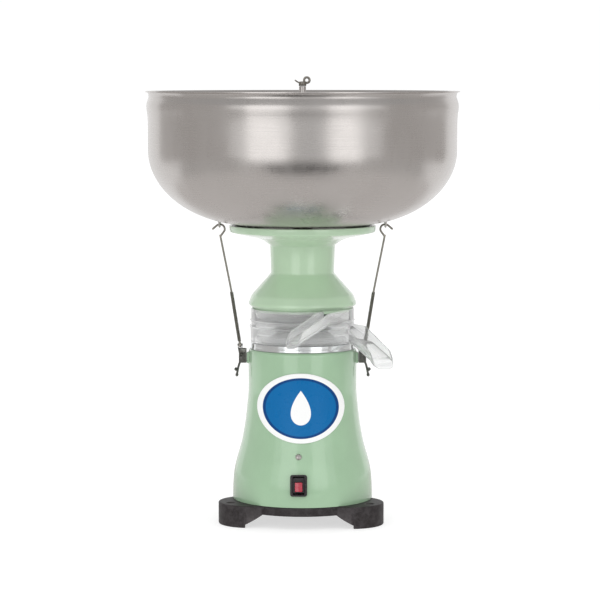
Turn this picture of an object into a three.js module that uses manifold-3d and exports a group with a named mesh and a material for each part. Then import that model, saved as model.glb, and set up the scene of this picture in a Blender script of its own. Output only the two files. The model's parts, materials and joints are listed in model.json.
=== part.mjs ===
// Tabletop electric cream separator. Millimetres, +Z up, origin on the spin axis at the soles of the feet.
// From the top down: a wide milk bowl with a tap, a float chamber on a flange, the cream and milk collectors
// with their open spouts, the separating drum, and a flared motor housing on a three-lobed base. Two hook
// latches at the sides hold the stack down. -Y is the front, where the switch, label and spouts are.
import * as THREE from "three";
import { mergeVertices } from "three/addons/utils/BufferGeometryUtils.js";
import Module from "manifold-3d";

const wasm = await Module();
wasm.setup();

// ---- Driving dimensions ----

const GAP = 0.3; // clearance between pieces that touch
const SEAT = {
  baseTop: 25, // top of the black base
  housingTop: 197.4, // top edge of the green housing
  milk: 205.5, // underside of the milk collector
  cream: 224.3, // underside of the cream collector's skirt
  chamberSkirt: 241, // lower edge of the float chamber
  bowl: 339.2, // underside of the bowl
};

const BOWL = {
  flat: 60, // radius of the flat bottom, where the knuckle starts
  reach: 116.2, // horizontal semi-axis of the knuckle
  rise: 86, // vertical semi-axis of the knuckle
  sheet: 1.2,
  lip: 178.8,
  top: 491.5,
};
const OUTLET = { bore: 9, outer: 11.5, flange: 17, mouth: 322 };
const TAP = { stem: 4, plugBottom: 326, plugTop: 345, stemTop: 497, eye: 3.1, eyeWire: 1.3 };
const FLOAT = { radius: 27, bottom: 292, top: 304, tip: 312 };
const FLOOR = 285; // underside of the float chamber's floor
const NOZZLE = { outer: 4.5, bore: 3, bottom: 226 };

const DRUM = { radius: 48, bottom: 151.5, shoulder: 204, neck: 228.5 };
const DISC = { count: 6, inner: 14.2, outer: 39.5, slope: 1.31, thick: 1.2, first: 197, pitch: 3.4 };
const SPINDLE = { radius: 4.9, bottom: 48, top: 164 };
const MOTOR = { rotor: 17, stator: 37, frame: 38.5, bottom: 46.2, top: 144.8 };

const FOOT = { azimuths: [87, 207, 327], lobe: 38, centre: 65, pad: 88, hole: 91.4, holeRadius: 2.8 };
const BASE = { radius: 80, underside: 15 };
const DAMPER = { azimuths: [27, 147, 267], centre: 42, radius: 8 };

// Outer outline of the housing as [radius, height]: a straight neck over a skirt that flares to the base.
const HOUSING = [
  [80.2, 25.3], [79.6, 45], [77.3, 63], [74.7, 73.3], [71.7, 83.8], [69.1, 94.2], [65.6, 115],
  [63.3, 136], [62.2, 148], [62, 193.8], [61.2, 196.4], [59.8, 197.4],
];
const LABEL = { x: -2, z: 136, halfWidth: 49.5, halfHeight: 39.2 };
const SWITCH = { x: -4.5, y: -79.6, z: 50.6, width: 19, height: 24.4, tilt: -0.098, swing: 0.157 };
const FRONT_SCREW = { x: -4.5, y: -72.4, z: 82, head: 3.5, tilt: -0.27 };
const GLAND = { z: 45, radius: 6 };

// Spouts run along `heading` degrees between two offsets from the axis, measured to the left of the heading.
// `rim` and `sole` are [distance along, height] of the side walls' top and of the floor's underside.
const CREAM_SPOUT = {
  heading: -116, inner: 43, outer: 59, wall: 1.5, floor: 1.6, end: 135.5, corner: 7.4,
  rim: [[0, 243.9], [53, 243.9], [121, 228.7], [132, 216]],
  sole: [[0, 230.4], [53, 230.8], [122, 218.4], [136.5, 211.5]],
};
const MILK_SPOUT = {
  heading: -62, inner: 33, outer: 60, wall: 1.5, floor: 1.8, end: 111, corner: 9,
  rim: [[0, 223.7], [41, 223.7], [97, 200.8], [108, 185]],
  sole: [[0, 205.8], [58, 205.2], [99, 191], [112, 181.2]],
};

// Latches, drawn on the +X side in the plane y = 0 as [x, z]. The left one is the mirror image.
const LATCH = {
  pivot: [69.7, 190.7], // where the lever turns in its bracket
  throw: 2, // the link's pin sits this far below the pivot, so that opening the lever slackens the rod
  eye: [71.66, 201.05], // where the rod swings on the link
  springTop: [81.6, 263.7],
  bend: [94, 327],
  hook: [94.4, 334.6], // centre of the hook's round arch
  hookRadius: 5.4,
  wire: 1.15,
  spring: 2.05,
};
const PEG = { x: 94.8, z: 337, wire: 1.2 };

// ---- Colours and finishes ----

const FINISH = {
  green: { color: 0xa9c7ab, roughness: 0.35, metalness: 0 },
  stainless: { color: 0xb4b0ab, roughness: 0.35, metalness: 1 },
  steel: { color: 0x6d6d68, roughness: 0.45, metalness: 0.9 },
  aluminium: { color: 0xa5a8a6, roughness: 0.4, metalness: 0.9 },
  clear: { color: 0xe9efee, roughness: 0.08, metalness: 0, transparent: true, opacity: 0.4 },
  black: { color: 0x2f2d2d, roughness: 0.7, metalness: 0 },
  red: { color: 0xb3202e, roughness: 0.25, metalness: 0 },
  white: { color: 0xf2f2ee, roughness: 0.4, metalness: 0 },
  rubber: { color: 0x3a3a3a, roughness: 0.9, metalness: 0 },
  brass: { color: 0xb8964f, roughness: 0.35, metalness: 0.9 },
  board: { color: 0x2f6b45, roughness: 0.6, metalness: 0 },
};

// How many flat sides a round piece is given, by how large or how near to the eye it is.
const SIDES = { bowl: 32, housing: 24, chamber: 24, inner: 16 };

// ---- Geometry helpers ----

const radians = THREE.MathUtils.degToRad;

// A solid of revolution about Z. The [radius, height] outline ends on the axis or is closed here.
function turned(outline, sides = SIDES.inner) {
  const points = outline.map(([radius, height]) => new THREE.Vector2(radius, height));
  if (THREE.ShapeUtils.area(points) < 0) points.reverse();
  if (points[0].x > 0 || points.at(-1).x > 0) points.push(points[0].clone());
  return new THREE.LatheGeometry(points, sides).rotateX(Math.PI / 2);
}

function ring(inner, outer, bottom, top, sides = SIDES.inner) {
  return turned([[inner, bottom], [outer, bottom], [outer, top], [inner, top]], sides);
}

function disc(radius, bottom, top, sides = SIDES.inner) {
  return turned([[0, bottom], [radius, bottom], [radius, top], [0, top]], sides);
}

function block(low, high) {
  const size = high.map((value, axis) => value - low[axis]);
  const middle = high.map((value, axis) => (value + low[axis]) / 2);
  return new THREE.BoxGeometry(...size).translate(...middle);
}

function shapeOf(points) {
  return new THREE.Shape(points.map(([x, y]) => new THREE.Vector2(x, y)));
}

function prism(shape, bottom, top, curveSegments = 6) {
  const settings = { depth: top - bottom, bevelEnabled: false, curveSegments };
  return new THREE.ExtrudeGeometry(shape, settings).translate(0, 0, bottom);
}

// An outline in the X-Z plane, given thickness from y = near to y = far.
function sideways(shape, near, far, curveSegments = 6) {
  return prism(shape, 0, far - near, curveSegments).rotateX(Math.PI / 2).translate(0, far, 0);
}

function rod(start, end, radius, sides = 10) {
  const from = new THREE.Vector3(...start);
  const along = new THREE.Vector3(...end).sub(from);
  const turn = new THREE.Quaternion().setFromUnitVectors(
    new THREE.Vector3(0, 1, 0),
    along.clone().normalize(),
  );
  const middle = from.addScaledVector(along, 0.5);
  const bar = new THREE.CylinderGeometry(radius, radius, along.length(), sides);
  return bar.applyQuaternion(turn).translate(...middle);
}

// A round wire that follows a smooth curve through the points.
function wire(points, radius, steps, sides = 6) {
  const section = new THREE.Shape();
  for (let i = 0; i < sides; i += 1) {
    const angle = (2 * Math.PI * i) / sides;
    const corner = [radius * Math.cos(angle), radius * Math.sin(angle)];
    if (i === 0) section.moveTo(...corner);
    else section.lineTo(...corner);
  }
  section.closePath();
  const path = new THREE.CatmullRomCurve3(points.map((p) => new THREE.Vector3(...p)), false, "centripetal");
  return new THREE.ExtrudeGeometry(section, { steps, extrudePath: path, bevelEnabled: false });
}

function roundedRectangle(width, height, radius) {
  const [x, y] = [width / 2, height / 2];
  const shape = new THREE.Shape();
  shape.moveTo(radius - x, -y);
  shape.lineTo(x - radius, -y);
  shape.absarc(x - radius, radius - y, radius, -Math.PI / 2, 0);
  shape.lineTo(x, y - radius);
  shape.absarc(x - radius, y - radius, radius, 0, Math.PI / 2);
  shape.lineTo(radius - x, y);
  shape.absarc(radius - x, y - radius, radius, Math.PI / 2, Math.PI);
  shape.lineTo(-x, radius - y);
  shape.absarc(radius - x, radius - y, radius, Math.PI, 1.5 * Math.PI);
  return shape;
}

function solidOf(geometry) {
  const bare = geometry.clone();
  bare.deleteAttribute("normal");
  bare.deleteAttribute("uv");
  const merged = mergeVertices(bare, 1e-4);
  const vertProperties = new Float32Array(merged.attributes.position.array);
  const triVerts = new Uint32Array(merged.index.array);
  return new wasm.Manifold(new wasm.Mesh({ numProp: 3, vertProperties, triVerts }));
}

function geometryOf(solid) {
  const { vertProperties, triVerts } = solid.getMesh();
  return new THREE.BufferGeometry()
    .setAttribute("position", new THREE.BufferAttribute(vertProperties, 3))
    .setIndex(new THREE.BufferAttribute(triVerts, 1));
}

const join = (...shapes) => geometryOf(shapes.map(solidOf).reduce((whole, next) => whole.add(next)));
const cut = (shape, ...tools) =>
  geometryOf(tools.map(solidOf).reduce((left, tool) => left.subtract(tool), solidOf(shape)));
const overlapOf = (one, other) => geometryOf(solidOf(one).intersect(solidOf(other)));

function place(parent, name, geometry, finish) {
  const flat = geometry.index ? geometry.toNonIndexed() : geometry;
  flat.computeVertexNormals();
  const mesh = new THREE.Mesh(flat, new THREE.MeshStandardMaterial(finish));
  mesh.name = name;
  parent.add(mesh);
  return mesh;
}

function atAzimuth(geometry, degrees, distance) {
  return geometry.translate(distance, 0, 0).rotateZ(radians(degrees));
}

// ---- Base and housing ----

// One lobe of the base: a round pad whose underside climbs to the disc towards the middle.
function footLobe(azimuth) {
  const lobe = disc(FOOT.lobe, 0, SEAT.baseTop, 20).translate(FOOT.centre, 0, 0);
  const relief = shapeOf([[20, -1], [FOOT.pad, -1], [FOOT.pad, 4], [70, BASE.underside], [20, BASE.underside]]);
  const hole = disc(FOOT.holeRadius, -1, 26, 10).translate(FOOT.hole, 0, 0);
  const sink = turned([[0, 21.5], [FOOT.holeRadius, 21.5], [5.6, 25.1], [0, 25.1]], 10);
  const shaped = cut(lobe, sideways(relief, -45, 45), hole, sink.translate(FOOT.hole, 0, 0));
  return shaped.rotateZ(radians(azimuth));
}

function baseRing() {
  const plate = disc(BASE.radius, BASE.underside, SEAT.baseTop, 36);
  const bore = turned([[0, 14], [4.5, 14], [4.5, 18.6], [2.2, 18.6], [2.2, 26], [0, 26]], 8);
  const screwHoles = DAMPER.azimuths.map((azimuth) => atAzimuth(bore.clone(), azimuth, 71));
  return cut(join(plate, ...FOOT.azimuths.map(footLobe)), ...screwHoles);
}

function baseScrew(azimuth) {
  const screw = turned([[0, 15.2], [4, 15.2], [4, 18.3], [1.7, 18.3], [1.7, 34], [0, 34]], 8);
  return atAzimuth(screw, azimuth, 71);
}

function housingShell() {
  const inside = [
    [59.5, 195.3], [59.5, 148], [63.1, 115], [72.2, 73.3], [77.1, 45], [77.5, 28.6], [66, 28.6], [66, 25.3],
  ];
  const shell = turned([...HOUSING, ...inside], SIDES.housing);
  const lugs = [-1, 1].map((side) => {
    const lug = block([60.6, -5.5, 180.5], [64, 5.5, 193]);
    return side > 0 ? lug : lug.rotateZ(Math.PI);
  });
  const switchWindow = block([-8.6, -10, -11], [8.6, 10, 11])
    .rotateX(SWITCH.tilt)
    .translate(SWITCH.x, SWITCH.y, SWITCH.z);
  const screwHole = rod([0, -8, 0], [0, 12, 0], 2, 10)
    .rotateX(FRONT_SCREW.tilt)
    .translate(FRONT_SCREW.x, FRONT_SCREW.y, FRONT_SCREW.z);
  const glandHole = rod([0, 70, GLAND.z], [0, 90, GLAND.z], GLAND.radius + 0.5, 16);
  const flangeHoles = DAMPER.azimuths.map((azimuth) => atAzimuth(disc(2.1, 24, 30, 8), azimuth, 71));
  return cut(join(shell, ...lugs), switchWindow, screwHole, glandHole, ...flangeHoles);
}

function drumWell() {
  return turned([
    [13, 145.6], [58.6, 145.6], [58.6, 197.4], [56.6, 197.4], [56.6, 148.2], [14.5, 148.2],
    [14.5, 150.2], [13, 150.2],
  ], SIDES.chamber);
}

function housingCollar() {
  return turned([
    [56.2, 197.7], [60.2, 197.7], [59.7, 200], [59.7, 205.2], [53.6, 205.2], [53.6, 202.2], [56.2, 200.4],
  ], SIDES.housing);
}

// A thin oval plate that follows the curve of the housing's front.
function labelPlate() {
  const facing = HOUSING.filter(([, z]) => z > 80 && z < 193);
  const outside = facing.map(([r, z]) => [r + 1, z]);
  const inside = facing.map(([r, z]) => [r + 0.4, z]).reverse();
  const oval = new THREE.Shape();
  oval.absellipse(0, 0, LABEL.halfWidth, LABEL.halfHeight, 0, 2 * Math.PI);
  const punch = sideways(oval, -100, -20, 20).translate(LABEL.x, 0, LABEL.z);
  return overlapOf(turned([...outside, ...inside], SIDES.housing), punch);
}

function frontScrew() {
  const profile = [[0, -1.9], [2.2, -1.5], [FRONT_SCREW.head, 0], [1.4, 0], [1.4, 11], [0, 11]];
  const screw = turned(profile, 12).rotateX(-Math.PI / 2);
  const slots = [block([-2.3, -3, -0.35], [2.3, -1.2, 0.35]), block([-0.35, -3, -2.3], [0.35, -1.2, 2.3])];
  return cut(screw, ...slots);
}

function cableGland() {
  const { radius } = GLAND;
  const profile = [
    [3.2, 70], [radius, 70], [radius, 80.5], [9, 80.5], [9, 84], [7.2, 85], [7.2, 92], [5, 95], [3.2, 95],
  ];
  return turned(profile, 16).rotateX(-Math.PI / 2).translate(0, 0, GLAND.z);
}

// ---- Switch, in its own frame: the front face looks along -Y ----

function switchBezel() {
  const frame = roundedRectangle(SWITCH.width, SWITCH.height, 2.4);
  frame.holes.push(roundedRectangle(12.8, 20.4, 0.6));
  return sideways(frame, -2.4, 0, 3);
}

function switchBody() {
  return cut(block([-8, GAP, -10.5], [8, 20, 10.5]), block([-6.8, 0, -9.8], [6.8, 8, 9.8]));
}

// The rocker's side view, in the position where its top is pressed in.
function rocker() {
  const outline = [[-2.8, 8.6], [-1.8, 0], [-2.8, -8.6], [0.5, -8.6], [4.5, -3], [4.5, 3], [0.5, 8.6]];
  const pivot = 1.5;
  const flat = shapeOf(outline.map(([y, z]) => [y - pivot, z]));
  return prism(flat, -6, 6)
    .rotateY(Math.PI / 2)
    .rotateX(Math.PI / 2)
    .rotateX(-SWITCH.swing)
    .translate(0, pivot, 0);
}

function controlBoard() {
  const board = block([-25, -51.5, 92], [25, -49.9, 126]);
  const bracket = join(
    block([-12, -65.6, 77], [3, -64.1, 90]),
    block([-12, -65.6, 89], [3, -50.5, 90.4]),
    block([-12, -52, 89], [3, -50.5, 94]),
  );
  const hole = rod([-4.5, -70, 80.6], [-4.5, -60, 80.6], 2.6, 10);
  const capacitor = rod([-14, -50.5, 108], [-14, -43, 108], 5, 12);
  const chip = block([4, -50.5, 100], [18, -46, 116]);
  return cut(join(board, bracket, capacitor, chip), hole);
}

// ---- Motor ----

function spindle() {
  const { radius, bottom, top } = SPINDLE;
  return turned([[0, bottom], [radius, bottom], [radius, DRUM.bottom], [3.9, top], [0, top]]);
}

function lowerBracket() {
  const { frame, bottom } = MOTOR;
  return turned([
    [7, bottom], [frame, bottom], [frame, 62], [36, 62], [36, 49], [13.5, 49], [13.5, 58], [11.4, 58],
    [11.4, 50], [7, 50],
  ]);
}

function upperBracket() {
  const { frame, top } = MOTOR;
  return turned([
    [frame, 116.4], [frame, 130], [24, top], [7, top], [7, 141.4], [11.4, 141.4], [11.4, 133.5],
    [13.6, 133.5], [13.6, 139.5], [22.5, 141.5], [36, 128.5], [36, 116.4],
  ]);
}

function damper(azimuth) {
  const { radius } = DAMPER;
  const profile = [
    [0, 25.3], [radius, 25.3], [radius, 28], [radius - 1.6, 33.7], [radius, 39.4], [radius, 42.1], [0, 42.1],
  ];
  return atAzimuth(turned(profile, 12), azimuth, DAMPER.centre);
}

// ---- Drum ----

function drumBottom() {
  const { radius, bottom } = DRUM;
  return turned([
    [0, 164.5], [4.6, 164.5], [5.6, bottom], [radius, bottom], [radius, 160], [45, 160], [45, 167],
    [43, 167], [41, 156.5], [12, 156.5], [9, 160], [9, 170], [0, 170],
  ], 20);
}

function drumCover() {
  const { radius, shoulder, neck } = DRUM;
  const cover = turned([
    [radius, 162.7], [radius, shoulder - 1], [46.8, shoulder + 2], [32, neck - 0.5], [30.5, neck],
    [24, neck], [24, 225.5], [30.6, 225], [43.8, 204.6], [45.7, 202], [45.7, 162.7],
  ], SIDES.chamber);
  const milkOutlets = [0, 120, 240].map((azimuth) => atAzimuth(disc(1.2, 220, 230, 6), azimuth, 27.4));
  return cut(cover, ...milkOutlets);
}

function discHolder() {
  const drop = DISC.slope * (DISC.outer - 13.5);
  const top = DISC.first - 3;
  return turned([
    [10, 160.2], [13.5, 160.2], [13.5, top - 1.4], [DISC.outer, top - 1.4 - drop], [DISC.outer, top - drop],
    [13.5, top], [13.5, 222], [10, 222],
  ]);
}

// A separating disc is a thin steep cone. Each lies above the one before, one pitch higher.
function separatingDisc(index) {
  const { inner, outer, slope, thick, first, pitch } = DISC;
  const top = first + pitch * index;
  const drop = slope * (outer - inner);
  return turned([[inner, top - thick], [outer, top - thick - drop], [outer, top - drop], [inner, top]]);
}

function topDisc() {
  const { inner, outer, slope, first, pitch, count } = DISC;
  const top = first + pitch * count;
  const drop = slope * (outer - inner);
  const cone = turned([
    [inner, top - 1.2], [outer, top - 1.2 - drop], [outer, top - drop], [16.2, top - 1.5], [16.2, 236.5],
    [inner, 236.5],
  ]);
  return cut(cone, rod([10, 0, 233.6], [20, 0, 233.6], 1.7, 8));
}

function drumNut() {
  return turned([[16.8, 229], [30.6, 229], [30.6, 231], [26.7, 238], [16.8, 238]], SIDES.chamber);
}

// ---- Collectors ----

// The plan of a spout, in its own frame: straight sides and a rounded end.
function spoutPlan({ end, corner }, near, far) {
  const shape = new THREE.Shape();
  shape.moveTo(0, near);
  shape.lineTo(end - corner, near);
  shape.absarc(end - corner, near + corner, corner, -Math.PI / 2, 0);
  shape.lineTo(end, far - corner);
  shape.absarc(end - corner, far - corner, corner, 0, Math.PI / 2);
  shape.lineTo(0, far);
  return shape;
}

// Joins an open spout to a turned collector. `channel` bounds the spout's walls, and `guard` the cut that
// opens the collector's wall, so that the collector's own floor and inner wall stay whole.
function withSpout(collector, spout, channel, guard) {
  const { heading, inner, outer, wall, floor, rim, sole } = spout;
  const side = shapeOf([...rim, ...[...sole].reverse()]);
  const plan = prism(spoutPlan(spout, inner, outer), 150, 260);
  const trough = overlapOf(sideways(side, inner, outer), plan);
  const hollowSide = shapeOf([...sole.map(([along, z]) => [along, z + floor]), [200, 180], [200, 260], [0, 260]]);
  const hollow = cut(sideways(hollowSide, inner + wall, outer - wall), guard);
  const whole = join(cut(trough, channel), collector.rotateZ(radians(-heading)));
  return cut(whole, hollow).rotateZ(radians(heading));
}

function creamCollector() {
  const body = turned([
    [57.6, 224.3], [58.9, 224.3], [58.9, 229.6], [60, 230.1], [60, 230.9], [58.9, 231.4], [58.9, 243.9],
    [57.6, 243.9], [57.6, 232.2], [34.6, 232.2], [34.6, 237.2], [33, 237.2], [33, 230.5], [57.6, 230.5],
  ], SIDES.housing);
  const channel = disc(57.7, 200, 260, SIDES.housing);
  const guard = disc(50, 200, 260);
  return withSpout(body, CREAM_SPOUT, channel, guard);
}

function milkCollector() {
  const body = turned([
    [49.9, 205.5], [59.7, 205.5], [59.7, 222.5], [61, 222.9], [61, 224], [58, 224], [58, 207.5],
    [51.4, 207.5], [51.4, 215.2], [49.9, 215.2],
  ], SIDES.housing);
  const channel = disc(58.1, 180, 260, SIDES.housing);
  const guard = disc(51.8, 180, 260, SIDES.housing);
  return withSpout(body, MILK_SPOUT, channel, guard);
}

// ---- Float chamber, bowl and tap ----

// One moulding: a dished flange, a waist with a floor, and a bell that stands on the cream collector.
function floatChamber() {
  return turned([
    [57, SEAT.chamberSkirt], [57, 244.4], [61.6, 248.8], [60.8, 254.4], [58, 259.6], [36, 284.4],
    [37.2, 316.4], [44.4, 321.4], [52.4, 324.7], [70.6, 328.4], [83.4, 331.4], [84.1, 338.9],
    [80.6, 338.9], [79.6, 334.2], [52, 327.8], [43.2, 324.4], [34.6, 318.4], [33, FLOOR + 3],
    [4.9, FLOOR + 3], [4.9, FLOOR], [31.4, FLOOR], [55, 258.6], [58.2, 248.6], [54.6, 244.2],
    [54.6, SEAT.chamberSkirt],
  ], SIDES.chamber);
}

function feedNozzle() {
  const { outer, bore, bottom } = NOZZLE;
  return turned([[bore, bottom], [outer, bottom], [outer, 288.3], [8, 288.3], [8, 290.5], [bore, 290.5]], 12);
}

function floatDisc() {
  const { radius, bottom, top, tip } = FLOAT;
  return turned([
    [0, bottom], [radius - 3, bottom], [radius, bottom + 3], [radius, top - 3], [radius - 3, top],
    [6, top], [3.4, top + 5], [0, tip],
  ]);
}

// The bowl's outside, from the outlet hole up the elliptical knuckle and straight wall to the rolled bead.
function milkBowl() {
  const { flat, reach, rise, sheet, lip, top } = BOWL;
  const centre = SEAT.bowl + rise;
  const outside = [[OUTLET.outer + 0.5, SEAT.bowl]];
  const inside = [[OUTLET.outer + 0.5, SEAT.bowl + sheet]];
  const steps = 7;
  for (let i = 0; i <= steps; i += 1) {
    const angle = (Math.PI / 2) * (i / steps);
    outside.push([flat + reach * Math.sin(angle), centre - rise * Math.cos(angle)]);
    inside.push([flat + (reach - sheet) * Math.sin(angle), centre - (rise - sheet) * Math.cos(angle)]);
  }
  const wall = flat + reach;
  outside.push([wall, 464], [wall + 1.6, 473], [wall + 0.2, 482], [wall + 0.2, 488], [lip, top - 1], [lip, top]);
  inside.push([wall - sheet, 464], [wall + 0.4, 473], [wall - 1, 482], [wall - 1, top]);
  return turned([...outside, ...inside.reverse()], SIDES.bowl);
}

function bowlOutlet() {
  const { bore, outer, flange, mouth } = OUTLET;
  const seat = SEAT.bowl + BOWL.sheet + 2.3;
  return turned([
    [bore - 1, mouth], [outer, mouth], [outer, seat], [flange, seat], [flange, seat + 2], [bore, seat + 2],
  ]);
}

function outletGasket() {
  const bottom = SEAT.bowl + BOWL.sheet + GAP;
  return ring(OUTLET.outer + 0.5, 15.5, bottom, bottom + 1.6);
}

function tapStem() {
  const { stem, plugBottom, plugTop, stemTop } = TAP;
  const bore = OUTLET.bore;
  return turned([
    [0, plugBottom], [bore - 1.5, plugBottom], [bore - 0.5, plugTop], [stem, plugTop + 3],
    [stem, stemTop], [0, stemTop],
  ]);
}

// The crosspiece on the tap: a cap on the stem, a short pin to the left and an eye to the right.
function tapHandle() {
  const { stemTop, eye, eyeWire } = TAP;
  const cap = disc(4.4, stemTop + GAP, stemTop + 5.2, 12);
  const pin = turned([[0, 0], [1.5, 0], [1.5, 7], [0.6, 9.5], [0, 9.5]], 8).rotateY(-Math.PI / 2);
  const loop = new THREE.TorusGeometry(eye, eyeWire, 6, 12).rotateX(Math.PI / 2);
  return join(cap, pin.translate(0, 0, stemTop + 4), loop.translate(eye + 1.9, 0, stemTop + 7));
}

// ---- Latches, on the +X side ----

function latchBracket() {
  const [x, z] = LATCH.pivot;
  const back = block([64.3, -5.9, 181], [65.5, 5.9, 197]);
  const ears = [-5.9, 4.4].map((near) => block([64.3, near, 181], [72.8, near + 1.5, 197]));
  return cut(join(back, ...ears), rod([x, -8, z], [x, 8, z], 1.85, 10));
}

function latchLever() {
  const [x, z] = LATCH.pivot;
  const half = 3.4;
  const outline = new THREE.Shape();
  outline.moveTo(half, -9.3);
  outline.lineTo(half, 0);
  outline.absarc(0, 0, half, 0, Math.PI);
  outline.lineTo(-half, -9.3);
  const cheeks = [-4.1, 2.2].map((near) => sideways(outline, near, near + 1.9, 4));
  const pinHole = rod([0, -6, -LATCH.throw], [0, 6, -LATCH.throw], 1.75, 8);
  const trunnions = [[-5.9, -4], [4, 5.9]].map(([from, to]) => rod([0, from, 0], [0, to, 0], 1.45, 8));
  const bridge = block([-half, -4.1, -9.3], [half, 4.1, -6.4]);
  const tail = wire([[1.2, 0, -8], [2.8, 0, -11], [4.2, 0, -16], [5.9, 0, -25.7]], 1.3, 5);
  const knob = new THREE.SphereGeometry(2, 8, 6).translate(7, 0, -17.5);
  const drilled = cheeks.map((cheek) => cut(cheek, pinHole));
  return join(...drilled, ...trunnions, bridge, tail, knob).translate(x, 0, z);
}

// The link turns on its pin between the lever's cheeks, and carries the rod in a fork.
function latchLink() {
  const [x, z] = [LATCH.pivot[0], LATCH.pivot[1] - LATCH.throw];
  const [eyeX, eyeZ] = LATCH.eye;
  const stem = shapeOf([
    [x - 2.4, z - 2.2], [x + 2.4, z - 2.2], [eyeX + 2.65, eyeZ - 3.2], [eyeX - 2.65, eyeZ - 3.2],
  ]);
  const ears = [-2.65, 1.75].map((near) =>
    block([eyeX + near, -1.9, eyeZ - 3.6], [eyeX + near + 0.9, 1.9, eyeZ + 2.2]),
  );
  const trunnion = rod([x, -4, z], [x, 4, z], 1.3, 8);
  const pin = rod([eyeX - 2.6, 0, eyeZ], [eyeX + 2.6, 0, eyeZ], 0.95, 8);
  return join(sideways(stem, -1.9, 1.9), ...ears, trunnion, pin);
}

// A point on the straight lower run of the rod, `reach` above the eye.
function onRod(reach) {
  const [fromX, fromZ] = LATCH.eye;
  const [toX, toZ] = LATCH.springTop;
  const length = Math.hypot(toX - fromX, toZ - fromZ);
  return [fromX + ((toX - fromX) * reach) / length, 0, fromZ + ((toZ - fromZ) * reach) / length];
}

function hookRod() {
  const [eyeX, eyeZ] = LATCH.eye;
  const [hookX, hookZ] = LATCH.hook;
  const arch = [205, 180, 150, 120, 90, 70, 50].map((degrees) => [
    hookX + LATCH.hookRadius * Math.cos(radians(degrees)),
    0,
    hookZ + LATCH.hookRadius * Math.sin(radians(degrees)),
  ]);
  const [lastX, , lastZ] = arch.at(-1);
  const tip = [lastX + 4.2, 0, lastZ - 3.5];
  const [bendX, bendZ] = LATCH.bend;
  const path = [onRod(1.5), onRod(30), onRod(63), [bendX - 0.6, 0, bendZ - 3], [bendX - 0.7, 0, bendZ]];
  const run = wire([...path, ...arch, tip], LATCH.wire, 28);
  const eye = rod([eyeX - 1.4, 0, eyeZ], [eyeX + 1.4, 0, eyeZ], 2.6, 10);
  const hole = rod([eyeX - 2, 0, eyeZ], [eyeX + 2, 0, eyeZ], 1.3, 8);
  return cut(join(run, eye), hole);
}

function latchSpring() {
  const [start, end] = [onRod(3.7), onRod(62)];
  return cut(rod(start, end, LATCH.spring, 10), rod(onRod(3), onRod(64), LATCH.wire + GAP, 10));
}

function bowlPeg() {
  const { x, z } = PEG;
  const path = [[x, -5, z + 5.4], [x, -5, z + 2.6], [x, -4.2, z + 0.8], [x, -2.4, z], [x, 5.5, z]];
  return wire(path, PEG.wire, 10);
}

// ---- Assembly ----

const separator = new THREE.Group();

place(separator, "base_ring", baseRing(), FINISH.black);
DAMPER.azimuths.forEach((azimuth, i) => {
  place(separator, `base_screw_${i + 1}`, baseScrew(azimuth), FINISH.steel);
  place(separator, `rubber_damper_${i + 1}`, damper(azimuth), FINISH.rubber);
});
place(separator, "housing_shell", housingShell(), FINISH.green);
place(separator, "drum_well", drumWell(), FINISH.aluminium);
place(separator, "housing_collar", housingCollar(), FINISH.aluminium);
place(separator, "label", labelPlate(), FINISH.white);
place(separator, "control_board", controlBoard(), FINISH.board);
place(separator, "cable_gland", cableGland(), FINISH.black);

const screwMesh = place(separator, "front_screw", frontScrew(), FINISH.steel);
screwMesh.position.set(FRONT_SCREW.x, FRONT_SCREW.y, FRONT_SCREW.z);
screwMesh.rotation.x = FRONT_SCREW.tilt;

const switchGroup = new THREE.Group();
switchGroup.position.set(SWITCH.x, SWITCH.y, SWITCH.z);
switchGroup.rotation.x = SWITCH.tilt;
place(switchGroup, "switch_bezel", switchBezel(), FINISH.black);
place(switchGroup, "switch_body", switchBody(), FINISH.black);
place(switchGroup, "switch_rocker", rocker(), FINISH.red);
separator.add(switchGroup);

place(separator, "motor_plate", ring(14, 52, 42.4, 45.8, SIDES.chamber), FINISH.steel);
place(separator, "lower_bracket", lowerBracket(), FINISH.aluminium);
place(separator, "upper_bracket", upperBracket(), FINISH.aluminium);
place(separator, "lower_bearing", ring(5.3, 11, 50.4, 57.4), FINISH.steel);
place(separator, "upper_bearing", ring(5.3, 11, 134, 141), FINISH.steel);
place(separator, "motor_stator", ring(MOTOR.rotor + 0.9, MOTOR.stator, 62.4, 116), FINISH.steel);
place(separator, "motor_rotor", ring(5.3, MOTOR.rotor, 66, 112), FINISH.steel);
place(separator, "spindle", spindle(), FINISH.steel);

place(separator, "drum_bottom", drumBottom(), FINISH.aluminium);
place(separator, "drum_seal", ring(45.8, 47.7, 160.3, 162.4, SIDES.chamber), FINISH.rubber);
place(separator, "disc_holder", discHolder(), FINISH.aluminium);
for (let i = 0; i < DISC.count; i += 1) {
  place(separator, `separating_disc_${i + 1}`, separatingDisc(i), FINISH.aluminium);
}
place(separator, "top_disc", topDisc(), FINISH.aluminium);
place(separator, "cream_screw", rod([13.2, 0, 233.6], [16.4, 0, 233.6], 1.3, 8), FINISH.brass);
place(separator, "drum_cover", drumCover(), FINISH.aluminium);
place(separator, "drum_nut", drumNut(), FINISH.steel);

place(separator, "milk_collector", milkCollector(), FINISH.clear);
place(separator, "cream_collector", creamCollector(), FINISH.clear);
place(separator, "float_chamber", floatChamber(), FINISH.green);
place(separator, "feed_nozzle", feedNozzle(), FINISH.brass);
place(separator, "float", floatDisc(), FINISH.white);
place(separator, "milk_bowl", milkBowl(), FINISH.stainless);
place(separator, "bowl_outlet", bowlOutlet(), FINISH.stainless);
place(separator, "outlet_gasket", outletGasket(), FINISH.rubber);
place(separator, "tap_stem", tapStem(), FINISH.stainless);
place(separator, "tap_handle", tapHandle(), FINISH.steel);

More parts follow.
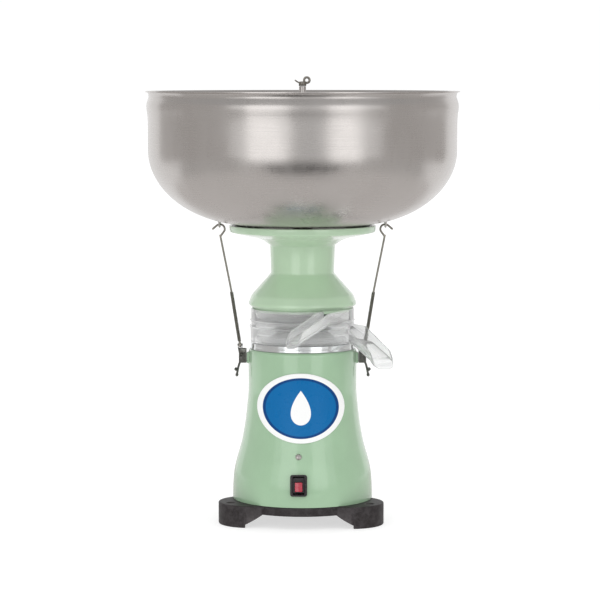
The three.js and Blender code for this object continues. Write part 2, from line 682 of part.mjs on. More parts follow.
for (const [side, mirror] of [["right", 1], ["left", -1]]) {
  const latch = new THREE.Group();
  latch.scale.x = mirror;
  place(latch, `latch_bracket_${side}`, latchBracket(), FINISH.steel);
  place(latch, `latch_lever_${side}`, latchLever(), FINISH.steel);
  place(latch, `latch_link_${side}`, latchLink(), FINISH.steel);
  place(latch, `hook_rod_${side}`, hookRod(), FINISH.steel);
  place(latch, `latch_spring_${side}`, latchSpring(), FINISH.steel);
  place(latch, `bowl_peg_${side}`, bowlPeg(), FINISH.stainless);
  separator.add(latch);
}

export default separator;
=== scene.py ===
"""Tabletop electric cream separator, as it looks.

Shapes are given in millimetres in the part's own frame: +Z up the spin axis, -Y the front. Every shaped
piece stands for one CAD node and rides on that node's body.
"""
import json
import math

import bmesh
import bpy
from mathutils import Matrix, Vector


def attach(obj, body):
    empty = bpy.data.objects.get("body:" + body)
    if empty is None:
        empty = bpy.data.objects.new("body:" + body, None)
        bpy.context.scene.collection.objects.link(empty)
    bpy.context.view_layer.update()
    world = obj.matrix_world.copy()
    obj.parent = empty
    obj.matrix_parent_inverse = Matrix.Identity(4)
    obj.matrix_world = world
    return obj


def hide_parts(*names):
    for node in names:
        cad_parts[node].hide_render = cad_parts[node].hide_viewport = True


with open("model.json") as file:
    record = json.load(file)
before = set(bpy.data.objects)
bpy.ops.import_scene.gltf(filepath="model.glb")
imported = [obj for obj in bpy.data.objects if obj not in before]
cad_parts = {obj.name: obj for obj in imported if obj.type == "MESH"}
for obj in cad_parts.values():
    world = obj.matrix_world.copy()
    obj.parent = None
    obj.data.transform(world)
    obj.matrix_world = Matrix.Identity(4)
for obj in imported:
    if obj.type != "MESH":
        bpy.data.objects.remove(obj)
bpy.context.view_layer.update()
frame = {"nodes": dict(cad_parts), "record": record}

RECORD = frame["record"]
BODY_OF = {node: body for body, nodes in RECORD["behaviour"]["bodies"].items() for node in nodes}
SLOT_OF = {row["node"]: row["material_slot"] for row in RECORD["subparts"]}
MM = 0.001
SIDES = ("right", "left")

# ---- Dimensions ----

BOWL_BOTTOM = 339.2
# The bowl's rounded bottom: a flat disc, then a quarter of an ellipse up to the wall.
KNUCKLE = {"flat": 60, "reach": 116.2, "rise": 86}
SHEET = 1.2
# The housing's outer outline, as (radius, height).
HOUSING = [
    (80.2, 25.3), (80.1, 32), (79.7, 43), (78.8, 54), (77.3, 63), (74.7, 73.3), (71.7, 83.8), (69.1, 94.2),
    (65.6, 115), (63.3, 136), (62.2, 148), (62, 160),
]
LABEL = {"x": -2, "z": 136, "wide": 49.5, "high": 39.2}
SWITCH = {"at": (-4.5, -79.6, 50.6), "tilt": -0.098, "swing": 0.157}
FRONT_SCREW = {"at": (-4.5, -72.4, 82), "tilt": -0.27}
GLAND_Z = 45
DAMPER_REACH = 42
BASE_SCREW_REACH = 71
DAMPER_AZIMUTHS = (27, 147, 267)
FOOT_AZIMUTHS = (87, 207, 327)
# A spout's rim and sole are (distance along it, height[, fillet]); near and far are its two sides.
CREAM_SPOUT = {
    "heading": -116, "near": 43, "far": 59, "wall": 1.5, "floor": 1.6, "end": 135.5, "corner": 7.4,
    "rim": [(0, 243.9), (53, 243.9, 20), (121, 228.7, 12), (132, 216)],
    "sole": [(0, 230.4), (53, 230.8, 20), (122, 218.4, 16), (136.5, 211.5)],
}
MILK_SPOUT = {
    "heading": -62, "near": 33, "far": 60, "wall": 1.5, "floor": 1.8, "end": 111, "corner": 9,
    "rim": [(0, 223.7), (41, 223.7, 20), (97, 200.8, 12), (108, 185)],
    "sole": [(0, 205.8), (58, 205.2, 30), (99, 191, 16), (112, 181.2)],
}
# The right latch, as (x, z) in its own plane; the left one is its mirror image.
PIVOT = (69.7, 190.7)
EYE = (71.66, 201.05)
SPRING_TOP = (81.6, 263.7)
HOOK = {"at": (94.4, 334.25), "radius": 5.4}
WIRE = 1.15
PEG = {"x": 94.8, "z": 337, "radius": 1.2}

# ---- Mesh helpers ----


def smooth(mesh, crease=38):
    """Shades the mesh smooth, except at edges sharper than `crease` degrees."""
    mesh.shade_smooth()
    mesh.set_sharp_from_angle(angle=math.radians(crease))


def piece_from(name, points, faces, crease=38):
    """A mesh object from points in millimetres, with its faces turned outwards."""
    mesh = bpy.data.meshes.new(name)
    mesh.from_pydata([Vector(point) * MM for point in points], [], faces)
    work = bmesh.new()
    work.from_mesh(mesh)
    bmesh.ops.recalc_face_normals(work, faces=work.faces)
    work.to_mesh(mesh)
    work.free()
    smooth(mesh, crease)
    piece = bpy.data.objects.new(name, mesh)
    bpy.context.scene.collection.objects.link(piece)
    return piece


def fillet(before, here, after, radius, steps):
    """The points of an arc that rounds the corner at `here`."""
    back, ahead = before - here, after - here
    half = back.angle(ahead) / 2
    reach = min(radius / math.tan(half), 0.49 * back.length, 0.49 * ahead.length)
    radius = reach * math.tan(half)
    back, ahead = back.normalized(), ahead.normalized()
    centre = here + (back + ahead).normalized() * radius / math.sin(half)
    start, end = here + back * reach - centre, here + ahead * reach - centre
    turn = start.angle_signed(end)
    return [centre + Matrix.Rotation(-turn * i / steps, 2) @ start for i in range(steps + 1)]


def rounded(corners, steps=6, closed=True):
    """An outline whose corners are (x, y) or (x, y, fillet radius)."""
    spots = [Vector(corner[:2]) for corner in corners]
    path = []
    for i, corner in enumerate(corners):
        inner = closed or 0 < i < len(corners) - 1
        if len(corner) > 2 and corner[2] > 0 and inner:
            path += fillet(spots[i - 1], spots[i], spots[(i + 1) % len(spots)], corner[2], steps)
        else:
            path.append(spots[i])
    return path


def curve(points, steps):
    """A smooth curve through the points, with `steps` short runs between each two."""
    spots = [Vector(point) for point in points]
    spots = [2 * spots[0] - spots[1], *spots, 2 * spots[-1] - spots[-2]]
    path = [spots[1]]
    for a, b, c, d in zip(spots, spots[1:], spots[2:], spots[3:]):
        for i in range(1, steps + 1):
            t = i / steps
            square, cube = 2 * a - 5 * b + 4 * c - d, 3 * b - a - 3 * c + d
            path.append((2 * b + (c - a) * t + square * t**2 + cube * t**3) / 2)
    return path


def bridged(low, high, around):
    """The faces between two rings of points; a ring of one point is a pole."""
    faces = []
    for i in range(around):
        j = (i + 1) % around
        ends = [low[i % len(low)], low[j % len(low)], high[j % len(high)], high[i % len(high)]]
        face = list(dict.fromkeys(ends))
        if len(face) > 2:
            faces.append(face)
    return faces


def turned(name, corners, sides=128, crease=38):
    """A solid of revolution about Z from (radius, height[, fillet]) corners."""
    on_axis = corners[0][0] == 0
    profile = rounded(corners, closed=not on_axis)
    points, rings = [], []
    for radius, height in profile:
        count = sides if radius > 1e-6 else 1
        rings.append([len(points) + i for i in range(count)])
        angles = [2 * math.pi * i / sides for i in range(count)]
        points += [(radius * math.cos(angle), radius * math.sin(angle), height) for angle in angles]
    pairs = list(zip(rings, rings[1:])) + ([] if on_axis else [(rings[-1], rings[0])])
    faces = [face for low, high in pairs for face in bridged(low, high, sides)]
    return piece_from(name, points, faces, crease)


def circle(radius, count):
    angles = [2 * math.pi * i / count for i in range(count)]
    return [Vector((radius * math.cos(angle), radius * math.sin(angle))) for angle in angles]


def prism(name, outline, low, high, place=lambda u, v, w: (u, v, w)):
    """An outline with thickness; `place` says where (along, up, thickness) lies in the frame."""
    count = len(outline)
    points = [place(spot[0], spot[1], level) for level in (low, high) for spot in outline]
    sides = [[i, (i + 1) % count, count + (i + 1) % count, count + i] for i in range(count)]
    faces = [list(range(count)), list(range(count, 2 * count)), *sides]
    return piece_from(name, points, faces)


def upright(u, v, w):
    """For outlines drawn in the X-Z plane, with their thickness along Y."""
    return (u, w, v)


def swept(name, path, radii, around):
    """A round bar along a path, with its own radius at each point and closed ends."""
    path = [Vector(point) for point in path]
    points, normal = [], None
    for i, here in enumerate(path):
        along = (path[min(i + 1, len(path) - 1)] - path[max(i - 1, 0)]).normalized()
        normal = along.orthogonal() if normal is None else normal
        normal = (normal - along * normal.dot(along)).normalized()
        across = along.cross(normal)
        for k in range(around):
            angle = 2 * math.pi * k / around
            points.append(here + radii[i] * (math.cos(angle) * normal + math.sin(angle) * across))
    faces = [list(range(around)), list(range(len(points) - around, len(points)))]
    for low in range(0, len(points) - around, around):
        high = low + around
        for k in range(around):
            j = (k + 1) % around
            faces.append([low + k, low + j, high + j, high + k])
    return piece_from(name, points, faces, 50)


def bar(name, path, radius, around, flare=None):
    """A round bar of one radius with domed ends. `flare` widens its first few points, as a weld does."""
    path = [Vector(point) for point in path]
    first, last = (path[0] - path[1]).normalized(), (path[-1] - path[-2]).normalized()
    dome = [(0.98, 0.2), (0.8, 0.6), (0.45, 0.9)]
    start = [path[0] + first * radius * out for out, _ in dome]
    end = [path[-1] + last * radius * out for out, _ in reversed(dome)]
    narrow = [radius * share for _, share in dome]
    radii = narrow + [radius] * len(path) + narrow[::-1]
    if flare:
        for i in range(len(dome) + 4):
            radii[i] *= 1 + (flare - 1) * (1 - i / (len(dome) + 4)) ** 1.5
    return swept(name, start + path + end, radii, around)


def block(name, low, high):
    """A box between two corners, as a tool or a blank for the helpers below."""
    (x0, y0, z0), (x1, y1, z1) = low, high
    return prism(name, [(x0, y0), (x1, y0), (x1, y1), (x0, y1)], z0, z1)


def moved(piece, matrix):
    """Moves a piece's own points; the matrix is in millimetres."""
    matrix = matrix.copy()
    matrix.translation *= MM
    piece.data.transform(matrix)
    if matrix.determinant() < 0:
        piece.data.flip_normals()
    return piece


def rotation(degrees, axis="Z"):
    return Matrix.Rotation(math.radians(degrees), 4, axis)


def set_round(piece, azimuth, reach):
    """Moves a piece made on the Z axis out to an azimuth and distance."""
    return moved(piece, rotation(azimuth) @ Matrix.Translation((reach, 0, 0)))


def tilted(piece, spot):
    """Moves a piece to a spot on the housing's front and leans it with the surface there."""
    return moved(piece, Matrix.Translation(spot["at"]) @ Matrix.Rotation(spot["tilt"], 4, "X"))


def settled(piece, crease=38):
    """Applies the piece's modifiers."""
    bpy.context.view_layer.update()
    graph = bpy.context.evaluated_depsgraph_get()
    mesh = bpy.data.meshes.new_from_object(piece.evaluated_get(graph))
    piece.modifiers.clear()
    piece.data = mesh
    smooth(mesh, crease)
    return piece


def carved(operation, piece, *tools):
    """Joins tools to a piece (UNION), cuts them out (DIFFERENCE) or keeps what they share (INTERSECT)."""
    for tool in tools:
        change = piece.modifiers.new("carve", "BOOLEAN")
        change.operation = operation
        change.solver = "EXACT"
        change.object = tool
        settled(piece)
        bpy.data.objects.remove(tool)
    return piece


def softened(piece, width, segments=2, angle=32):
    """Rounds the sharp edges, so that they catch the light."""
    edges = piece.modifiers.new("edges", "BEVEL")
    edges.width = width * MM
    edges.segments = segments
    edges.limit_method = "ANGLE"
    edges.angle_limit = math.radians(angle)
    edges.harden_normals = True
    return settled(piece, 60)


def joined(piece, *others):
    """One object from several closed shapes that touch."""
    work = bmesh.new()
    for each in (piece, *others):
        work.from_mesh(each.data)
    work.to_mesh(piece.data)
    work.free()
    for other in others:
        bpy.data.objects.remove(other)
    smooth(piece.data)
    return piece


# ---- Materials ----


class Look:
    """A node material on one Principled shader. Sizes are in millimetres."""

    def __init__(self, name, **values):
        self.material = bpy.data.materials.new(name)
        self.material.use_nodes = True
        self.tree = self.material.node_tree
        self.shader = self.tree.nodes["Principled BSDF"]
        for key, value in values.items():
            self.shader.inputs[key.replace("_", " ")].default_value = value
        self.place = self.add("ShaderNodeTexCoord").outputs["Object"]

    def add(self, kind, **settings):
        node = self.tree.nodes.new(kind)
        for key, value in settings.items():
            setattr(node, key, value)
        return node

    def feed(self, socket, value):
        if isinstance(value, bpy.types.NodeSocket):
            self.tree.links.new(value, socket)
        else:
            socket.default_value = value

    def set(self, name, value):
        self.feed(self.shader.inputs[name], value)
        return self

    def math(self, operation, a, b=0.0):
        node = self.add("ShaderNodeMath", operation=operation)
        self.feed(node.inputs[0], a)
        self.feed(node.inputs[1], b)
        return node.outputs[0]

    def scaled(self, stretch):
        node = self.add("ShaderNodeVectorMath", operation="MULTIPLY")
        self.feed(node.inputs[0], self.place)
        node.inputs[1].default_value = stretch
        return node.outputs[0]

    def noise(self, size, detail=3.0, stretch=(1, 1, 1), rough=0.5):
        node = self.add("ShaderNodeTexNoise")
        self.feed(node.inputs["Vector"], self.scaled(stretch))
        node.inputs["Scale"].default_value = 1 / (size * MM)
        node.inputs["Detail"].default_value = detail
        node.inputs["Roughness"].default_value = rough
        return node.outputs[0]

    def spun(self, size, sweep):
        """Fine lines round the Z axis, as turning, spinning or polishing leaves them."""
        parts = self.add("ShaderNodeSeparateXYZ")
        self.feed(parts.inputs[0], self.place)
        x, y, z = parts.outputs
        radius = self.math("SQRT", self.math("ADD", self.math("MULTIPLY", x, x), self.math("MULTIPLY", y, y)))
        safe = self.math("MAXIMUM", radius, 1e-4)
        spot = self.add("ShaderNodeCombineXYZ")
        self.feed(spot.inputs[0], self.math("MULTIPLY", self.math("DIVIDE", x, safe), sweep))
        self.feed(spot.inputs[1], self.math("MULTIPLY", self.math("DIVIDE", y, safe), sweep))
        self.feed(spot.inputs[2], self.math("MULTIPLY", z, 1 / (size * MM)))
        node = self.add("ShaderNodeTexNoise", noise_dimensions="4D")
        self.feed(node.inputs["Vector"], spot.outputs[0])
        self.feed(node.inputs["W"], self.math("MULTIPLY", radius, 1 / (size * MM)))
        node.inputs["Scale"].default_value = 1.0
        node.inputs["Detail"].default_value = 3.0
        return node.outputs[0]

    def cells(self, size):
        """Distance to the middle of the nearest of many scattered cells."""
        node = self.add("ShaderNodeTexVoronoi")
        self.feed(node.inputs["Vector"], self.place)
        node.inputs["Scale"].default_value = 1 / (size * MM)
        return node.outputs["Distance"]

    def edges(self):
        """1 on convex edges, 0 on flat faces."""
        return self.span(self.add("ShaderNodeNewGeometry").outputs["Pointiness"], 0.52, 0.6, 0.0, 1.0)

    def span(self, value, low, high, start, end):
        """`start` to `end` as the value goes from `low` to `high`."""
        node = self.add("ShaderNodeMapRange")
        for socket, part in zip(node.inputs, (value, low, high, start, end)):
            self.feed(socket, part)
        return node.outputs[0]

    def blend(self, share, a, b):
        node = self.add("ShaderNodeMix", data_type="RGBA")
        self.feed(node.inputs[0], share)
        for socket, colour in ((node.inputs[6], a), (node.inputs[7], b)):
            self.feed(socket, colour if isinstance(colour, bpy.types.NodeSocket) else (*colour, 1.0))
        return node.outputs[2]

    def relief(self, *layers):
        """Bump layers, each (height, depth in millimetres, strength)."""
        normal = None
        for height, depth, strength in layers:
            node = self.add("ShaderNodeBump")
            node.inputs["Strength"].default_value = strength
            node.inputs["Distance"].default_value = depth * MM
            self.feed(node.inputs["Height"], height)
            if normal is not None:
                self.feed(node.inputs["Normal"], normal)
            normal = node.outputs[0]
        return self.set("Normal", normal)


def stainless():
    """Spun and satin-polished sheet: fine rings, faint ripples, and smears that dull it in patches."""
    look = Look("stainless_satin", Metallic=1.0, Anisotropic=0.55, Anisotropic_Rotation=0.25)
    rings = look.spun(0.35, 3)
    smears = look.noise(38, 4, (1, 1, 0.45), 0.6)
    look.set("Base Color", look.blend(smears, (0.515, 0.485, 0.467), (0.615, 0.588, 0.57)))
    base = look.span(smears, 0.3, 0.7, 0.23, 0.33)
    look.set("Roughness", look.math("ADD", base, look.span(rings, 0.3, 0.7, -0.03, 0.05)))
    look.set("Tangent", look.add("ShaderNodeTangent", direction_type="RADIAL", axis="Z").outputs[0])
    ripples = look.noise(55, 2, (1, 1, 0.8))
    return look.relief((ripples, 0.6, 0.12), (rings, 0.02, 0.35)).material


def steel(name, dark, light, rough=(0.35, 0.55), patch=3.0):
    """Small plated or oiled steel parts: mottled, with brighter worn edges."""
    look = Look(name, Metallic=0.9)
    mottle = look.noise(patch, 5, rough=0.62)
    colour = look.blend(look.span(mottle, 0.32, 0.68, 0.0, 1.0), dark, light)
    worn = tuple(min(1.0, 1.9 * part) for part in light)
    look.set("Base Color", look.blend(look.edges(), colour, worn))
    look.set("Roughness", look.span(look.noise(patch * 0.6, 4), 0.3, 0.7, *rough))
    return look.relief((look.noise(0.5, 4), 0.03, 0.5)).material


def aluminium(name="aluminium_turned", rough=(0.24, 0.36), light=0.62):
    """Turned aluminium, with fine rings and a faint cloudiness."""
    look = Look(name, Metallic=1.0, Anisotropic=0.4, Anisotropic_Rotation=0.25)
    rings = look.spun(0.5, 2)
    cloud = look.noise(14, 4)
    shade = (light * 0.86, light * 0.89, light * 0.89)
    look.set("Base Color", look.blend(cloud, shade, (light, light * 1.02, light * 1.03)))
    look.set("Roughness", look.span(rings, 0.3, 0.7, *rough))
    look.set("Tangent", look.add("ShaderNodeTangent", direction_type="RADIAL", axis="Z").outputs[0])
    return look.relief((rings, 0.03, 0.5)).material


def green(name, peel, rough, coat, shade):
    """Mint green, with a slight orange peel and a very slightly uneven tone."""
    look = Look(name, Coat_Weight=coat, Coat_Roughness=0.1, Coat_IOR=1.62, Specular_IOR_Level=0.4,
                Sheen_Weight=0.1, Sheen_Roughness=0.35, Sheen_Tint=(1.0, 0.92, 0.93, 1))
    tone = look.span(look.noise(42, 3), 0.3, 0.7, 0.0, 1.0)
    specks = look.span(look.noise(0.9, 2), 0.35, 0.65, 0.0, 1.0)
    field = look.blend(tone, tuple(0.96 * part for part in shade), tuple(1.04 * part for part in shade))
    pale = tuple(1.15 * part for part in shade)
    look.set("Base Color", look.blend(look.math("MULTIPLY", specks, 0.16), field, pale))
    look.set("Roughness", look.span(look.noise(6, 3), 0.3, 0.7, *rough))
    return look.relief((look.noise(24, 2), 0.25, 0.1), (look.noise(peel, 2), 0.035, 0.25)).material


def clear_plastic():
    """Clear moulding with a slight haze that shows at its edges, and faint ripples."""
    look = Look("clear_moulding", Base_Color=(0.985, 0.99, 0.99, 1), Transmission_Weight=0.84, IOR=1.46,
                Specular_IOR_Level=1.0, Sheen_Weight=0.6, Sheen_Roughness=0.5)
    haze = look.noise(16, 4)
    look.set("Roughness", look.span(haze, 0.35, 0.7, 0.03, 0.10))
    return look.relief((look.noise(30, 2), 0.2, 0.06), (look.noise(3.0, 2), 0.02, 0.06)).material


def black_plastic():
    """Grained black moulding, rubbed grey in scattered patches and along the edges."""
    look = Look("black_grained", Specular_IOR_Level=0.2)
    grain = look.noise(0.9, 3, rough=0.65)
    dust = look.span(look.noise(7, 5, rough=0.7), 0.42, 0.72, 0.0, 1.0)
    field = look.blend(look.span(grain, 0.35, 0.7, 0.0, 1.0), (0.016, 0.013, 0.0135), (0.034, 0.029, 0.030))
    rubbed = look.blend(look.math("MULTIPLY", dust, 0.35), field, (0.11, 0.10, 0.105))
    look.set("Base Color", look.blend(look.math("MULTIPLY", look.edges(), 0.5), rubbed, (0.16, 0.145, 0.15)))
    look.set("Roughness", look.span(grain, 0.3, 0.7, 0.38, 0.56))
    return look.relief((grain, 0.12, 0.45)).material


def glossy_black():
    """The polished moulding of the rocker, its bezel and the switch body. On the rocker's paddle, the black
    is painted shade.
    """
    look = Look("black_polished", Specular_IOR_Level=0.3)
    cloud = look.noise(3, 3)
    look.set("Base Color", look.blend(cloud, (0.014, 0.012, 0.013), (0.035, 0.03, 0.032)))
    look.set("Roughness", look.span(cloud, 0.3, 0.7, 0.2, 0.36))
    return look.relief((look.noise(0.8, 3), 0.02, 0.3)).material


def red_plastic():
    """The lit lens of the rocker: clear red, paler in patches."""
    look = Look("red_lens", Transmission_Weight=0.25, Coat_Weight=0.8, Coat_Roughness=0.05, IOR=1.49)
    cloud = look.noise(4, 3)
    look.set("Base Color", look.blend(cloud, (0.38, 0.012, 0.035), (0.62, 0.03, 0.07)))
    look.set("Roughness", look.span(cloud, 0.3, 0.7, 0.12, 0.26))
    return look.relief((look.noise(1.2, 2), 0.02, 0.2)).material


def label_film():
    """A white oval with a plain blue oval in it, and a white drop in the middle."""
    look = Look("label_film", Specular_IOR_Level=0.12)
    parts = look.add("ShaderNodeSeparateXYZ")
    look.feed(parts.inputs[0], look.place)
    x = look.math("MULTIPLY_ADD", parts.outputs[0], 1 / MM)
    x.node.inputs[2].default_value = -LABEL["x"]
    z = look.math("MULTIPLY_ADD", parts.outputs[2], 1 / MM)
    z.node.inputs[2].default_value = -LABEL["z"]
    across = look.math("POWER", look.math("DIVIDE", look.math("ABSOLUTE", x), LABEL["wide"]), 2.0)
    up = look.math("POWER", look.math("DIVIDE", look.math("ABSOLUTE", z), LABEL["high"]), 2.0)
    oval = look.math("SQRT", look.math("ADD", across, up))
    height = look.span(z, -19.0, 20.0, 0.0, 1.0)
    width = look.math("MULTIPLY", look.math("SQRT", height), look.math("SUBTRACT", 1.0, height))
    inside = look.math("SUBTRACT", look.math("MULTIPLY", width, 30.0), look.math("ABSOLUTE", x))
    drop = look.span(inside, 0.05, 0.3, 0.0, 1.0)
    ink = look.noise(0.5, 2)
    blue = look.blend(look.span(ink, 0.3, 0.7, 0.0, 1.0), (0.001, 0.120, 0.33), (0.003, 0.134, 0.37))
    ringed = look.blend(look.span(oval, 0.80, 0.806, 0.0, 1.0), blue, (0.002, 0.05, 0.19))
    field = look.blend(look.span(oval, 0.868, 0.874, 0.0, 1.0), ringed, (0.83, 0.835, 0.83))
    look.set("Base Color", look.blend(drop, field, (0.83, 0.835, 0.83)))
    look.set("Roughness", look.span(look.noise(9, 3), 0.3, 0.7, 0.24, 0.36))
    return look.relief((look.noise(18, 2), 0.15, 0.08), (ink, 0.01, 0.2)).material


def white_plastic():
    """Milky white moulding of the float."""
    look = Look("float_white", Subsurface_Weight=0.15, Subsurface_Scale=0.002)
    cloud = look.noise(9, 4)
    look.set("Base Color", look.blend(cloud, (0.78, 0.78, 0.75), (0.86, 0.86, 0.84)))
    look.set("Roughness", look.span(cloud, 0.3, 0.7, 0.32, 0.48))
    return look.relief((look.noise(0.8, 3), 0.03, 0.25)).material


def rubber():
    """Black rubber with a dusty bloom."""
    look = Look("rubber_black")
    grain = look.noise(0.7, 4)
    bloom = look.span(look.noise(5, 4), 0.45, 0.75, 0.0, 0.5)
    look.set("Base Color", look.blend(bloom, (0.018, 0.018, 0.018), (0.07, 0.068, 0.066)))
    look.set("Roughness", look.span(grain, 0.3, 0.7, 0.72, 0.92))
    return look.relief((grain, 0.08, 0.5)).material


def brass():
    """Turned brass, tarnished in patches."""
    look = Look("brass_turned", Metallic=1.0)
    rings = look.spun(0.4, 2)
    look.set("Base Color", look.blend(look.noise(5, 4), (0.52, 0.36, 0.13), (0.70, 0.53, 0.23)))
    look.set("Roughness", look.span(rings, 0.3, 0.7, 0.22, 0.38))
    return look.relief((rings, 0.03, 0.5)).material


def circuit_board():
    """Green lacquer over a net of copper."""
    look = Look("circuit_board", Coat_Weight=0.3)
    copper = look.span(look.cells(4.0), 0.02, 0.05, 1.0, 0.0)
    lacquer = look.blend(look.noise(6, 3), (0.012, 0.10, 0.045), (0.02, 0.14, 0.06))
    look.set("Base Color", look.blend(copper, lacquer, (0.05, 0.22, 0.08)))
    look.set("Roughness", look.span(look.noise(2, 3), 0.3, 0.7, 0.3, 0.5))
    return look.relief((copper, 0.05, 0.4)).material


LOOKS = {
    "green_paint": green("green_painted_steel", 1.6, (0.36, 0.46), 1.0, (0.288, 0.450, 0.286)),
    "stainless": stainless(),
    "dark_steel": steel("steel_oiled", (0.075, 0.075, 0.068), (0.16, 0.16, 0.15)),
    "aluminium": aluminium(),
    "clear_plastic": clear_plastic(),
    "black_plastic": black_plastic(),
    "red_plastic": red_plastic(),
    "white_plastic": white_plastic(),
    "label_film": label_film(),
    "rubber": rubber(),
    "brass": brass(),
    "board": circuit_board(),
}
# The float chamber is its own green moulding. Its colour is also made paler than the moulding, as painted
# light that hides the shade the bowl casts on it.
CHAMBER_GREEN_LIFTED_AGAINST_SHADE = green("green_moulding_lifted_against_shade", 2.6, (0.32, 0.40), 1.0, (0.400, 0.550, 0.378))
WIRE_STEEL = steel("wire_drawn", (0.19, 0.175, 0.155), (0.30, 0.28, 0.25), (0.3, 0.45), 2.0)
SPRING_STEEL = steel("spring_blued", (0.075, 0.073, 0.062), (0.13, 0.127, 0.11), (0.35, 0.5), 1.5)
# Dark, green-tinted steel for the drum nut. The green cast is a painted reflection of the green chamber and
# housing around it.
NUT_STEEL_PAINTED_REFLECTION = steel("nut_dark_painted_green_reflection", (0.10, 0.125, 0.11), (0.16, 0.19, 0.17), (0.3, 0.45), 6.0)
GLOSSY_BLACK = glossy_black()
COLLAR_METAL = aluminium("collar_polished", (0.12, 0.22), 0.80)


def shown(piece, node, look=None):
    """The piece stands for a CAD node: it rides on the node's body and takes the node's material."""
    piece.data.materials.clear()
    piece.data.materials.append(look or LOOKS[SLOT_OF[node]])
    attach(piece, BODY_OF[node])
    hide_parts(node)
    return piece


def both_sides(make, node, look=None):
    """Makes a latch piece on the right, and its mirror image on the left."""
    for side in SIDES:
        piece = make(f"{node}_{side}_shape")
        if side == "left":
            moved(piece, Matrix.Scale(-1, 4, (1, 0, 0)))
        shown(piece, f"{node}_{side}", look)


# ---- Bowl, tap and float chamber ----


def sheet_outline(path, thickness):
    """The outline of a sheet that lies inside a path."""
    inner = []
    for i, here in enumerate(path):
        along = (path[min(i + 1, len(path) - 1)] - path[max(i - 1, 0)]).normalized()
        inner.append(here + thickness * Vector((-along.y, along.x)))
    return [*path, *reversed(inner)]


def milk_bowl(name):
    """A pressed bowl: flat middle, elliptical knuckle, upright wall, rolled bead and thin turned lip."""
    centre = BOWL_BOTTOM + KNUCKLE["rise"]
    wall = KNUCKLE["flat"] + KNUCKLE["reach"]
    path = [Vector((12, BOWL_BOTTOM)), Vector((30, BOWL_BOTTOM))]
    steps = 40
    for i in range(steps + 1):
        angle = math.pi / 2 * i / steps
        radius = KNUCKLE["flat"] + KNUCKLE["reach"] * math.sin(angle)
        path.append(Vector((radius, centre - KNUCKLE["rise"] * math.cos(angle))))
    bead = [(0, 440), (0, 456), (0.4, 464), (1.1, 470), (1.4, 474), (1.1, 477.5)]
    neck = [(0.1, 481), (-0.9, 484), (-1.2, 485.6), (-0.9, 487.4), (-0.4, 489)]
    lip = [(0.3, 489.9), (1.3, 490.3), (2.5, 490.3)]
    path += curve([(wall + out, height) for out, height in bead + neck + lip], 4)
    return turned(name, [tuple(spot) for spot in sheet_outline(path, SHEET)], 256, 50)


def bowl_outlet(name):
    return turned(name, [
        (8, 322, 0.4), (11.5, 322, 0.4), (11.5, 342.7), (17, 342.7, 0.3), (17, 344.7, 0.8), (9, 344.7, 0.8),
    ], 64)


def tap_stem(name):
    return turned(name, [
        (0, 326), (7.5, 326, 0.6), (8.5, 345, 0.8), (4, 348, 1.5), (4, 497, 0.5), (0, 497),
    ], 48)


def tap_handle(name):
    """A cap on the stem, with a bent pin to the left and a wire eye to the right."""
    cap = turned(name, [(0, 497.3), (4.3, 497.3, 0.4), (4.4, 502.2, 1.4), (0, 502.5)], 40)
    pin = bar("pin", [(-1.5, 0, 500.6), (-4, 0, 501), (-6, 0, 502), (-8.2, 0, 503.6)], 0.85, 12)
    loop = []
    for degrees in range(-135, 220, 15):
        angle = math.radians(degrees)
        loop.append((4.9 + 3.15 * math.cos(angle), 0, 503.9 + 3.15 * math.sin(angle)))
    shank = [(1.0, 0, 500.5), (1.9, 0, 501)]
    return joined(cap, pin, bar("eye", shank + loop, 1.3, 12))


def float_chamber(name):
    """One moulding, from its skirt up: lip, cone, waist, flange with a rim, and the hollow inside."""
    return turned(name, [
        (57, 241, 0.5), (57, 244.4, 0.8), (61.6, 248.6, 1.0), (61.3, 251.5, 5), (58.2, 259.4, 14),
        (36, 284.4, 5), (37.2, 316.4, 3), (44.4, 321.4, 8), (52.4, 324.7, 10), (70.6, 328.4, 8),
        (83.4, 331.4, 2), (84.1, 338.9, 0.9), (80.6, 338.9, 0.7), (79.6, 334.2, 1.5), (52, 327.8, 8),
        (43.2, 324.4, 6), (34.6, 318.4, 5), (33, 288, 2), (4.9, 288), (4.9, 285), (31.4, 285, 2),
        (55, 258.6, 12), (58.2, 248.6, 2), (54.6, 244.2, 1), (54.6, 241, 0.5),
    ], 160)


def feed_nozzle(name):
    return turned(name, [
        (3, 226, 0.2), (4.5, 226, 0.4), (4.5, 288.3), (8, 288.3, 0.3), (8, 290.5, 0.6), (3, 290.5, 0.5),
    ], 40)


def float_disc(name):
    return turned(name, [
        (0, 292), (27, 292, 3), (27, 304, 3), (7, 304, 2.5), (3.4, 309, 2), (0, 312),
    ], 96)


shown(milk_bowl("milk_bowl_shape"), "milk_bowl")
shown(bowl_outlet("bowl_outlet_shape"), "bowl_outlet")
shown(turned("outlet_gasket_shape", [
    (12, 340.7, 0.4), (15.5, 340.7, 0.6), (15.5, 342.3, 0.6), (12, 342.3, 0.4),
], 64), "outlet_gasket")
shown(tap_stem("tap_stem_shape"), "tap_stem")
shown(tap_handle("tap_handle_shape"), "tap_handle", WIRE_STEEL)
shown(float_chamber("float_chamber_shape"), "float_chamber", CHAMBER_GREEN_LIFTED_AGAINST_SHADE)
shown(feed_nozzle("feed_nozzle_shape"), "feed_nozzle")
shown(float_disc("float_shape"), "float")

# ---- Collectors ----


